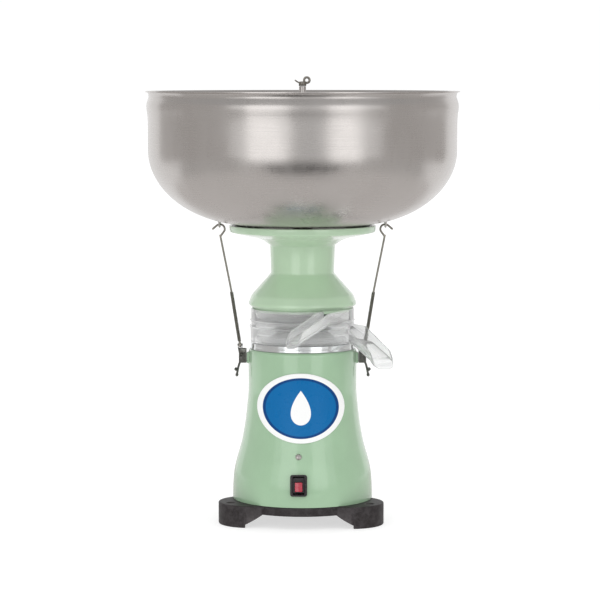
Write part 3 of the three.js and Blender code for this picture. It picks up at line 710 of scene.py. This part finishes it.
def with_spout(body, spout, channel, guard):
    """Joins an open spout to a collector, along the spout's heading.

    The trough stops at `channel`, and its hollow, which opens the ring's wall, stops at `guard`.
    """
    near, far, wall, end, corner = (spout[key] for key in ("near", "far", "wall", "end", "corner"))
    rim, sole = rounded(spout["rim"], 8, False), rounded(spout["sole"], 8, False)
    plan = rounded([(0, near), (end, near, corner), (end, far, corner), (0, far)], 12)
    trough = prism("trough", [*rim, *reversed(sole)], near, far, upright)
    carved("INTERSECT", trough, prism("plan", plan, 150, 260))
    over = [Vector((u, z + spout["floor"])) for u, z in sole]
    hollow_side = [*over, Vector((200, 180)), Vector((200, 260)), Vector((0, 260))]
    hollow = softened(prism("hollow", hollow_side, near + wall, far - wall, upright), 0.9, 3, 60)
    carved("DIFFERENCE", hollow, guard)
    carved("DIFFERENCE", trough, channel)
    carved("UNION", body, trough)
    carved("DIFFERENCE", body, hollow)
    return moved(body, rotation(spout["heading"]))


def cream_collector(name):
    body = turned(name, [
        (57.6, 224.3, 0.3), (58.9, 224.3, 0.4), (58.9, 229.6), (60, 230.1, 0.4), (60, 230.9, 0.4),
        (58.9, 231.4), (58.9, 243.9, 0.5), (57.6, 243.9, 0.5), (57.6, 232.2, 0.8), (34.6, 232.2, 0.8),
        (34.6, 237.2, 0.5), (33, 237.2, 0.5), (33, 230.5, 0.3), (57.6, 230.5),
    ], 144)
    channel = turned("channel", [(0, 200), (57.7, 200), (57.7, 260), (0, 260)], 144)
    guard = turned("guard", [(0, 200), (50, 200), (50, 260), (0, 260)], 96)
    return with_spout(body, CREAM_SPOUT, channel, guard)


def milk_collector(name):
    body = turned(name, [
        (49.9, 205.5, 0.4), (59.7, 205.5, 0.6), (59.7, 222.5), (61, 222.9, 0.4), (61, 224, 0.4),
        (58, 224, 0.4), (58, 207.5, 0.8), (51.4, 207.5, 0.8), (51.4, 215.2, 0.5), (49.9, 215.2, 0.5),
    ], 144)
    channel = turned("channel", [(0, 180), (58.1, 180), (58.1, 260), (0, 260)], 144)
    guard = turned("guard", [(0, 180), (51.8, 180), (51.8, 260), (0, 260)], 144)
    return with_spout(body, MILK_SPOUT, channel, guard)


shown(cream_collector("cream_collector_shape"), "cream_collector")
shown(milk_collector("milk_collector_shape"), "milk_collector")

# ---- Drum ----


def drum_cover(name):
    cover = turned(name, [
        (48, 162.7, 0.4), (48, 203, 1), (46.8, 206, 1), (32, 228, 1.5), (30.5, 228.5, 0.5), (24, 228.5),
        (24, 225.5), (30.6, 225), (43.8, 204.6), (45.7, 202), (45.7, 162.7, 0.3),
    ])
    holes = [
        set_round(turned("hole", [(0, 220), (1.2, 220), (1.2, 230), (0, 230)], 20), azimuth, 27.4)
        for azimuth in (0, 120, 240)
    ]
    return carved("DIFFERENCE", cover, *holes)


shown(drum_cover("drum_cover_shape"), "drum_cover")
shown(turned("drum_nut_shape", [
    (16.8, 229, 0.3), (30.6, 229, 0.5), (30.6, 231, 0.6), (26.7, 238, 0.8), (16.8, 238, 0.6),
], 96), "drum_nut", NUT_STEEL_PAINTED_REFLECTION)
shown(turned("drum_bottom_shape", [
    (0, 164.5), (4.6, 164.5), (5.6, 151.5, 0.4), (48, 151.5, 1.2), (48, 160, 0.4), (45, 160), (45, 167, 0.4),
    (43, 167, 0.4), (41, 156.5, 2), (12, 156.5, 1), (9, 160), (9, 170, 0.5), (0, 170),
], 96), "drum_bottom")

# ---- Housing ----


def housing_radius(height):
    """The radius of the housing's outer outline at a height."""
    path = curve(HOUSING, 5)
    for low, high in zip(path, path[1:]):
        if low.y <= height <= high.y:
            return low.x + (high.x - low.x) * (height - low.y) / (high.y - low.y)
    return path[-1].x


def housing_shell(name):
    outside = [(spot.x, spot.y) for spot in curve(HOUSING, 5)]
    top = [(62, 191.8), (61.9, 195.4, 1.5), (60.4, 197.4, 1.2), (59.5, 197.4, 0.3)]
    inside = [
        (59.5, 148, 20), (63.1, 115, 30), (72.2, 73.3, 30), (77.1, 45, 20), (77.5, 28.6), (66, 28.6),
        (66, 25.3),
    ]
    shell = turned(name, outside + top + inside, 160)
    lugs = []
    for turn in (0, 180):
        lug = softened(block("lug", (60.6, -5.5, 180.5), (64, 5.5, 193)), 1.1, 3)
        lugs.append(moved(lug, rotation(turn)))
    carved("UNION", shell, *lugs)
    window = tilted(block("window", (-8.6, -10, -11), (8.6, 10, 11)), SWITCH)
    gland_hole = prism("hole", circle(6.5, 40), 70, 90, lambda u, v, w: (u, w, v + GLAND_Z))
    screw_hole = tilted(prism("hole", circle(2, 24), -8, 12, upright), FRONT_SCREW)
    flange_holes = [
        set_round(turned("hole", [(0, 24), (2.1, 24), (2.1, 30), (0, 30)], 24), azimuth, BASE_SCREW_REACH)
        for azimuth in DAMPER_AZIMUTHS
    ]
    return carved("DIFFERENCE", shell, window, gland_hole, screw_hole, *flange_holes)


def label_plate(name):
    """A thin oval that lies on the housing's curve, with a rounded edge."""
    around, steps = 120, 14
    layers = [(0.4, share / steps) for share in range(steps + 1)]
    layers += [(0.62, 1.002), (0.86, 0.999), (1.0, 0.992)]
    layers += [(1.0, share / steps) for share in range(steps - 1, -1, -1)]
    points, rings = [], []
    for lift, share in layers:
        count = around if share > 0 else 1
        rings.append(range(len(points), len(points) + count))
        for i in range(count):
            angle = 2 * math.pi * i / around
            x = LABEL["x"] + LABEL["wide"] * share * math.cos(angle)
            z = LABEL["z"] + LABEL["high"] * share * math.sin(angle)
            radius = housing_radius(z) + lift
            points.append((x, -math.sqrt(radius**2 - x**2), z))
    faces = [face for low, high in zip(rings, rings[1:]) for face in bridged(low, high, around)]
    return piece_from(name, points, faces, 50)


def front_screw(name):
    """A pan-head screw with a cross recess."""
    screw = turned(name, [
        (0, -1.9), (2.2, -1.7, 1.5), (3.5, -0.3, 0.5), (3.5, 0), (1.4, 0), (1.4, 11, 0.5), (0, 11),
    ], 48)
    moved(screw, rotation(-90, "X"))
    slots = [
        block("slot", (-2.2, -3, -0.35), (2.2, -1.1, 0.35)),
        block("slot", (-0.35, -3, -2.2), (0.35, -1.1, 2.2)),
    ]
    return tilted(carved("DIFFERENCE", screw, *slots), FRONT_SCREW)


def cable_gland(name):
    gland = turned(name, [
        (3.2, 70), (6, 70), (6, 80.5), (9, 80.5, 0.6), (9, 84, 0.6), (7.2, 85, 0.5), (7.2, 92, 1),
        (5, 95, 0.8), (3.2, 95, 0.5),
    ], 64)
    return moved(gland, Matrix.Translation((0, 0, GLAND_Z)) @ rotation(-90, "X"))


shown(housing_shell("housing_shell_shape"), "housing_shell")
shown(turned("housing_collar_shape", [
    (56.2, 197.7, 0.3), (60.2, 197.7, 0.4), (59.7, 200, 1), (59.7, 205.2, 0.8), (53.6, 205.2, 0.5),
    (53.6, 202.2, 0.5), (56.2, 200.4, 0.8),
], 144), "housing_collar", COLLAR_METAL)
shown(turned("drum_well_shape", [
    (13, 145.6, 0.3), (58.6, 145.6, 1.5), (58.6, 197.4, 0.5), (56.6, 197.4, 0.5), (56.6, 148.2, 2),
    (14.5, 148.2, 0.5), (14.5, 150.2, 0.3), (13, 150.2, 0.3),
]), "drum_well")
shown(label_plate("label_shape"), "label")
shown(front_screw("front_screw_shape"), "front_screw")
shown(cable_gland("cable_gland_shape"), "cable_gland")

# ---- Switch ----


def round_rectangle(width, height, radius):
    x, y = width / 2, height / 2
    return rounded([(-x, -y, radius), (x, -y, radius), (x, y, radius), (-x, y, radius)])


def switch_bezel(name):
    bezel = prism(name, round_rectangle(19, 24.4, 2.6), -2.4, 0, upright)
    opening = prism("opening", round_rectangle(12.8, 20.4, 0.8), -5, 2, upright)
    return tilted(softened(carved("DIFFERENCE", bezel, opening), 0.55, 3), SWITCH)


def switch_body(name):
    body = block(name, (-8, 0.3, -10.5), (8, 20, 10.5))
    hollow = block("hollow", (-6.8, -1, -9.8), (6.8, 8, 9.8))
    return tilted(softened(carved("DIFFERENCE", body, hollow), 0.3), SWITCH)


def rocked(piece):
    """Puts a piece of the rocker, drawn level about its pivot, where it rests with its top pressed in."""
    moved(piece, Matrix.Rotation(-SWITCH["swing"], 4, "X"))
    return tilted(moved(piece, Matrix.Translation((0, 1.5, 0))), SWITCH)


def crosswise(u, v, w):
    """For outlines drawn in the Y-Z plane, with their thickness along X."""
    return (w, u, v)


def shade_painted_paddle(name):
    """A rocker whose two faces meet at the middle, with a window for its lens in the lower face. Its black
    upper face is painted shade: it stands for the shaded top half of the pressed-in red rocker.
    """
    outline = rounded([
        (-4.3, 8.6, 0.9), (-3.1, 0, 10), (-4.3, -8.6, 0.9), (-1, -8.6), (3, -3), (3, 3), (-1, 8.6),
    ], 8)
    paddle = prism(name, outline, -6, 6, crosswise)
    window = prism("window", [(-8, -7.7), (-1.2, -7.7), (-1.2, 3.4), (-8, 3.4)], -4.4, 4.4, crosswise)
    return rocked(softened(carved("DIFFERENCE", paddle, window), 0.3))


def rocker_lens(name):
    """The lens that fills the paddle's window, a little proud of it."""
    face = [(-4.15, -7.5, 0.6), (-3.05, 0, 12), (-3.3, 3.2, 0.5), (-1.4, 3.2), (-1.4, -7.5)]
    return rocked(softened(prism(name, rounded(face), -4.2, 4.2, crosswise), 0.35, 3))


shown(switch_bezel("switch_bezel_shape"), "switch_bezel", GLOSSY_BLACK)
shown(switch_body("switch_body_shape"), "switch_body", GLOSSY_BLACK)
shown(rocker_lens("switch_rocker_lens"), "switch_rocker")
# The paddle's black is painted shade over the pressed-in top half of the rocker.
shown(shade_painted_paddle("switch_paddle_painted_shade"), "switch_rocker", GLOSSY_BLACK)

# ---- Base ----


def base_ring(name):
    """A disc and three lobed feet, hollowed below, with countersunk holes for bench screws."""
    base = turned(name, [(0, 15), (80, 15, 1.2), (80, 25, 1), (0, 25)], 192)
    for azimuth in FOOT_AZIMUTHS:
        lobe = turned("lobe", [(0, 0), (38, 0, 1.6), (38, 25, 1.2), (0, 25)], 120)
        moved(lobe, Matrix.Translation((65, 0, 0)))
        relief = prism("relief", [(10, -1), (88, -1), (88, 4), (70, 15), (10, 15)], -45, 45, upright)
        hole = turned("hole", [(0, -1), (2.8, -1), (2.8, 22.3), (5.6, 25.05), (5.6, 27), (0, 27)], 40)
        carved("DIFFERENCE", lobe, relief, moved(hole, Matrix.Translation((91.4, 0, 0))))
        carved("UNION", base, moved(lobe, rotation(azimuth)))
    counterbore = [(0, 14), (4.5, 14), (4.5, 18.6), (2.2, 18.6), (2.2, 26), (0, 26)]
    holes = [
        set_round(turned("hole", counterbore, 24), azimuth, BASE_SCREW_REACH) for azimuth in DAMPER_AZIMUTHS
    ]
    return carved("DIFFERENCE", base, *holes)


def base_screw(name, azimuth):
    screw = turned(name, [
        (0, 15.2), (4, 15.2, 1.2), (4, 18.3, 0.3), (1.7, 18.3), (1.7, 34, 0.5), (0, 34),
    ], 40)
    return set_round(screw, azimuth, BASE_SCREW_REACH)


def damper(name, azimuth):
    rubber_foot = turned(name, [
        (0, 25.3), (8, 25.3, 0.6), (8, 28, 1), (6.4, 33.7, 4), (8, 39.4, 1), (8, 42.1, 0.6), (0, 42.1),
    ], 48)
    return set_round(rubber_foot, azimuth, DAMPER_REACH)


shown(base_ring("base_ring_shape"), "base_ring")
for number, azimuth in enumerate(DAMPER_AZIMUTHS, 1):
    shown(base_screw(f"base_screw_{number}_shape", azimuth), f"base_screw_{number}")
    shown(damper(f"rubber_damper_{number}_shape", azimuth), f"rubber_damper_{number}")
shown(turned("motor_plate_shape", [
    (14, 42.4, 0.3), (52, 42.4, 0.6), (52, 45.8, 0.6), (14, 45.8, 0.3),
], 96), "motor_plate")

# ---- Latches, drawn on the right ----


def on_rod(reach):
    """A point on the rod's straight lower run, so far above its eye."""
    start, end = Vector((EYE[0], 0, EYE[1])), Vector((SPRING_TOP[0], 0, SPRING_TOP[1]))
    return start + (end - start).normalized() * reach


def latch_bracket(name):
    """A back plate against the housing's lug, with two ears that carry the lever."""
    x, z = PIVOT
    ears = rounded([(64.3, 181), (72.8, 181, 2), (72.8, 197, 2), (64.3, 197)], 5)
    cheeks = [prism("cheek", ears, near, near + 1.5, upright) for near in (-5.9, 4.4)]
    back = carved("UNION", block(name, (64.3, -5.9, 181), (65.5, 5.9, 197)), *cheeks)
    hole = prism("hole", [(x + u, z + v) for u, v in circle(1.85, 24)], -8, 8, upright)
    return softened(carved("DIFFERENCE", back, hole), 0.35)


def latch_lever(name):
    """Two cheeks and a bridge on a pivot pin, with a bent tail, a knob and a tip."""
    x, z = PIVOT
    half = 3.4
    outline = rounded([(-half, -9.3, 0.6), (half, -9.3, 0.6), (half, half, half), (-half, half, half)], 8)
    cheeks = [prism("cheek", outline, near, near + 1.9, upright) for near in (-4.1, 2.2)]
    bridge = block("bridge", (-half, -4.1, -9.3), (half, 4.1, -6.4))
    lever = softened(carved("UNION", bridge, *cheeks), 0.4)
    lever.name = name
    pins = [bar("pin", [(0, start, 0), (0, end, 0)], 1.4, 20) for start, end in ((-5.4, -3), (3, 5.4))]
    tail = bar("tail", curve([(1.2, 0, -8), (2.8, 0, -11), (4.2, 0, -16), (5.9, 0, -25)], 6), 1.25, 16)
    knob = turned("knob", [(0, -2), (1.2, -2, 0.4), (2, -0.6, 0.6), (2, 0.8, 0.6), (1.0, 2, 0.5), (0, 2)], 24)
    moved(knob, Matrix.Translation((6.6, 0, -17.6)) @ rotation(78, "Y"))
    tip = turned("tip", [(0, -1.6), (1.7, -1.6, 0.6), (1.7, 1.2, 0.8), (0, 1.6)], 24)
    moved(tip, Matrix.Translation((5.7, 0, -24.2)) @ rotation(170, "Y"))
    return moved(joined(lever, *pins, tail, knob, tip), Matrix.Translation((x, 0, z)))


def latch_link(name):
    """The short fork between the lever and the rod's eye, with a pin through each end."""
    x, z = PIVOT[0], PIVOT[1] - 2
    eye_x, eye_z = EYE
    stem = prism(name, [
        (x - 2.4, z - 2.2), (x + 2.4, z - 2.2), (eye_x + 2.65, eye_z - 3.2), (eye_x - 2.65, eye_z - 3.2),
    ], -1.9, 1.9, upright)
    ears = [
        block("ear", (eye_x + near, -1.9, eye_z - 3.6), (eye_x + near + 0.9, 1.9, eye_z + 2.2))
        for near in (-2.65, 1.75)
    ]
    link = softened(carved("UNION", stem, *ears), 0.35)
    trunnion = bar("trunnion", [(x, -3.4, z), (x, 3.4, z)], 1.25, 20)
    pin = bar("pin", [(eye_x - 2.4, 0, eye_z), (eye_x + 2.4, 0, eye_z)], 0.9, 16)
    return joined(link, trunnion, pin)


def hook_rod(name):
    """The bent wire: an eye on the link's pin, a leaning run, and a hook over the peg."""
    hook_x, hook_z = HOOK["at"]
    radius = HOOK["radius"]
    arch = []
    for degrees in (205, 180, 155, 130, 105, 85, 65, 50):
        angle = math.radians(degrees)
        arch.append((hook_x + radius * math.cos(angle), 0, hook_z + radius * math.sin(angle)))
    tip = (arch[-1][0] + 4.6, 0, arch[-1][2] - 3.9)
    half_way = (arch[-1][0] + 1.6, 0, arch[-1][2] - 1.3)
    lower = [on_rod(2.2), on_rod(20), on_rod(40), on_rod(62), (93.2, 0, 322.5), (93.6, 0, 326)]
    rod = bar(name, curve([*lower, *arch, half_way, tip], 6), WIRE, 18)
    eye_x, eye_z = EYE
    near, far = eye_x - 1.3, eye_x + 1.3
    eye = prism("eye", circle(2.6, 32), near, far, lambda u, v, w: (w, u, eye_z + v))
    hole = prism("hole", circle(1.3, 24), near - 2, far + 2, lambda u, v, w: (w, u, eye_z + v))
    return joined(rod, softened(carved("DIFFERENCE", eye, hole), 0.3))


def latch_spring(name):
    """A close-wound spring over the lower half of the rod."""
    coil, thick, turns, per_turn = 1.65, 0.42, 62, 18
    start, end = on_rod(4.2), on_rod(61.6)
    along = (end - start).normalized()
    side = Vector((0, 1, 0))
    across = along.cross(side)
    path = []
    for i in range(turns * per_turn + 1):
        angle = 2 * math.pi * i / per_turn
        out = coil * (math.cos(angle) * side + math.sin(angle) * across)
        path.append(start + (end - start) * i / (turns * per_turn) + out)
    return bar(name, path, thick, 8)


def bowl_peg(name):
    """A wire peg welded under the bowl, bent towards the rear so that a hook can slide off it."""
    x, z = PEG["x"], PEG["z"]
    path = curve([(x, -5, 342.6), (x, -5, z + 2.6), (x, -4.2, z + 0.8), (x, -2.4, z), (x, 5.3, z)], 5)
    return bar(name, path, PEG["radius"], 16, flare=2.1)


both_sides(latch_bracket, "latch_bracket")
both_sides(latch_lever, "latch_lever")
both_sides(latch_link, "latch_link")
both_sides(hook_rod, "hook_rod", WIRE_STEEL)
both_sides(latch_spring, "latch_spring", SPRING_STEEL)
both_sides(bowl_peg, "bowl_peg")

# The CAD nodes that stay are hidden deep inside: they keep their shape and take their slot's material.
for node, model in frame["nodes"].items():
    if not model.hide_render:
        model.data.materials.clear()
        model.data.materials.append(LOOKS[SLOT_OF[node]])

# ---- Studio ----


def studio_material(name, colour, glow=None, lift=0.0):
    """A matt surface with a little light of its own, or with `glow` a card that only shines."""
    material = bpy.data.materials.new(name)
    material.use_nodes = True
    shader = material.node_tree.nodes["Principled BSDF"]
    shader.inputs["Base Color"].default_value = (*colour, 1)
    shader.inputs["Roughness"].default_value = 0.9
    shader.inputs["Emission Strength"].default_value = lift
    if glow is not None:
        shader.inputs["Base Color"].default_value = (0, 0, 0, 1)
        shader.inputs["Specular IOR Level"].default_value = 0
        shader.inputs["Emission Color"].default_value = (*colour, 1)
        shader.inputs["Emission Strength"].default_value = glow
    return material


def studio_sheet(name, corners, material):
    """A flat sheet of the studio; corners are in metres."""
    mesh = bpy.data.meshes.new(name)
    mesh.from_pydata(corners, [], [list(range(len(corners)))])
    sheet = bpy.data.objects.new(name, mesh)
    mesh.materials.append(material)
    bpy.context.scene.collection.objects.link(sheet)
    return sheet


def reflector(name, corners, level, tint=(1, 1, 1)):
    """A card that shows only in reflections and through the clear plastic, and lights nothing."""
    card = studio_sheet(name, corners, studio_material(name, tint, level))
    card.visible_camera = False
    card.visible_diffuse = False
    card.visible_shadow = False
    return card


def standing(azimuth, distance, width, low, high):
    """A vertical card's corners; azimuth is counted from the front, to the right."""
    turn = math.radians(azimuth)
    centre = Vector((math.sin(turn), -math.cos(turn), 0)) * distance
    across = Vector((math.cos(turn), math.sin(turn), 0)) * width / 2
    left, right = (centre - across).xy, (centre + across).xy
    return [(*left, low), (*right, low), (*right, high), (*left, high)]


def round_card(radius, height):
    return [(spot.x, spot.y, height) for spot in circle(radius, 96)]


floor = studio_sheet("floor", [(-30, -30, 0), (30, -30, 0), (30, 30, 0), (-30, 30, 0)],
                     studio_material("floor_white", (0.45, 0.45, 0.45), lift=0.62))
floor.visible_glossy = False

# The floor itself is left out of reflections: cards just under it stand for the table, the floor in front
# and behind, and the far floor.
reflector("table_card", round_card(0.80, -0.002), 0.72, (1, 0.975, 0.96))
reflector("far_floor_card", round_card(5.0, -0.004), 0.56, (1, 0.985, 0.97))
reflector("back_floor_card", [(-5, 0.25, -0.003), (5, 0.25, -0.003), (5, 6, -0.003), (-5, 6, -0.003)], 1.0)
reflector("front_floor_card", [
    (-0.55, -0.95, -0.001), (-0.3, -1.35, -0.001), (0.3, -1.35, -0.001), (0.55, -0.95, -0.001),
    (0.25, -0.66, -0.001), (-0.25, -0.66, -0.001),
], 0.03)
reflector("ceiling_card", round_card(5.5, 2.25), 0.5)
reflector("panel_left", standing(-25, 1.7, 0.90, -0.3, 1.1), 1.65)
reflector("panel_right", standing(30, 1.7, 0.72, -0.3, 1.1), 1.65)
reflector("panel_centre", standing(4, 1.9, 0.62, -0.05, 1.1), 0.72)
# The low cards show only through the clear plastic, and the side ones only in reflections.
for card in (
    reflector("low_card_left", standing(-118, 0.5, 0.8, 0.12, 0.3), 1.7),
    reflector("low_card_right", standing(118, 0.5, 0.8, 0.12, 0.3), 1.7),
):
    card.visible_glossy = False
for card in (
    reflector("side_left", standing(-90, 1.9, 2.8, -0.1, 1.2), 0.54, (1, 0.97, 0.95)),
    reflector("side_right", standing(93, 1.9, 2.7, -0.1, 1.2), 0.54, (1, 0.97, 0.95)),
):
    card.visible_transmission = False

world = bpy.data.worlds.new("studio")
bpy.context.scene.world = world
world.use_nodes = True
background = world.node_tree.nodes["Background"]
background.inputs["Color"].default_value = (1, 1, 1, 1)
background.inputs["Strength"].default_value = 1.02


def area_light(name, place, target, size, power):
    """A soft round lamp that leaves no reflection."""
    data = bpy.data.lights.new(name, "AREA")
    data.shape = "DISK"
    data.size = size
    data.energy = power
    lamp = bpy.data.objects.new(name, data)
    lamp.location = place
    lamp.rotation_euler = (Vector(target) - Vector(place)).to_track_quat("-Z", "Y").to_euler()
    lamp.visible_glossy = False
    bpy.context.scene.collection.objects.link(lamp)


area_light("top_light", (0.1, -0.6, 2.6), (0, 0, 0.2), 1.6, 8)
area_light("front_light", (-0.3, -2.6, 0.9), (0, 0, 0.25), 1.6, 10)

bpy.context.scene.view_settings.view_transform = "Standard"

# ---- Camera ----

# Just above the bowl's rim, 2.9 m in front, tilted down a little.
CAMERA_PLACE = (-0.0029, -2.9, 0.5131)
CAMERA_DOWN = 5.13

camera_data = bpy.data.cameras.new("camera")
camera_data.sensor_width = 36
camera_data.lens = 152.4
camera = bpy.data.objects.new("camera", camera_data)
camera.location = CAMERA_PLACE
camera.rotation_euler = (math.radians(90 - CAMERA_DOWN), 0, 0)
bpy.context.scene.collection.objects.link(camera)
bpy.context.scene.camera = camera
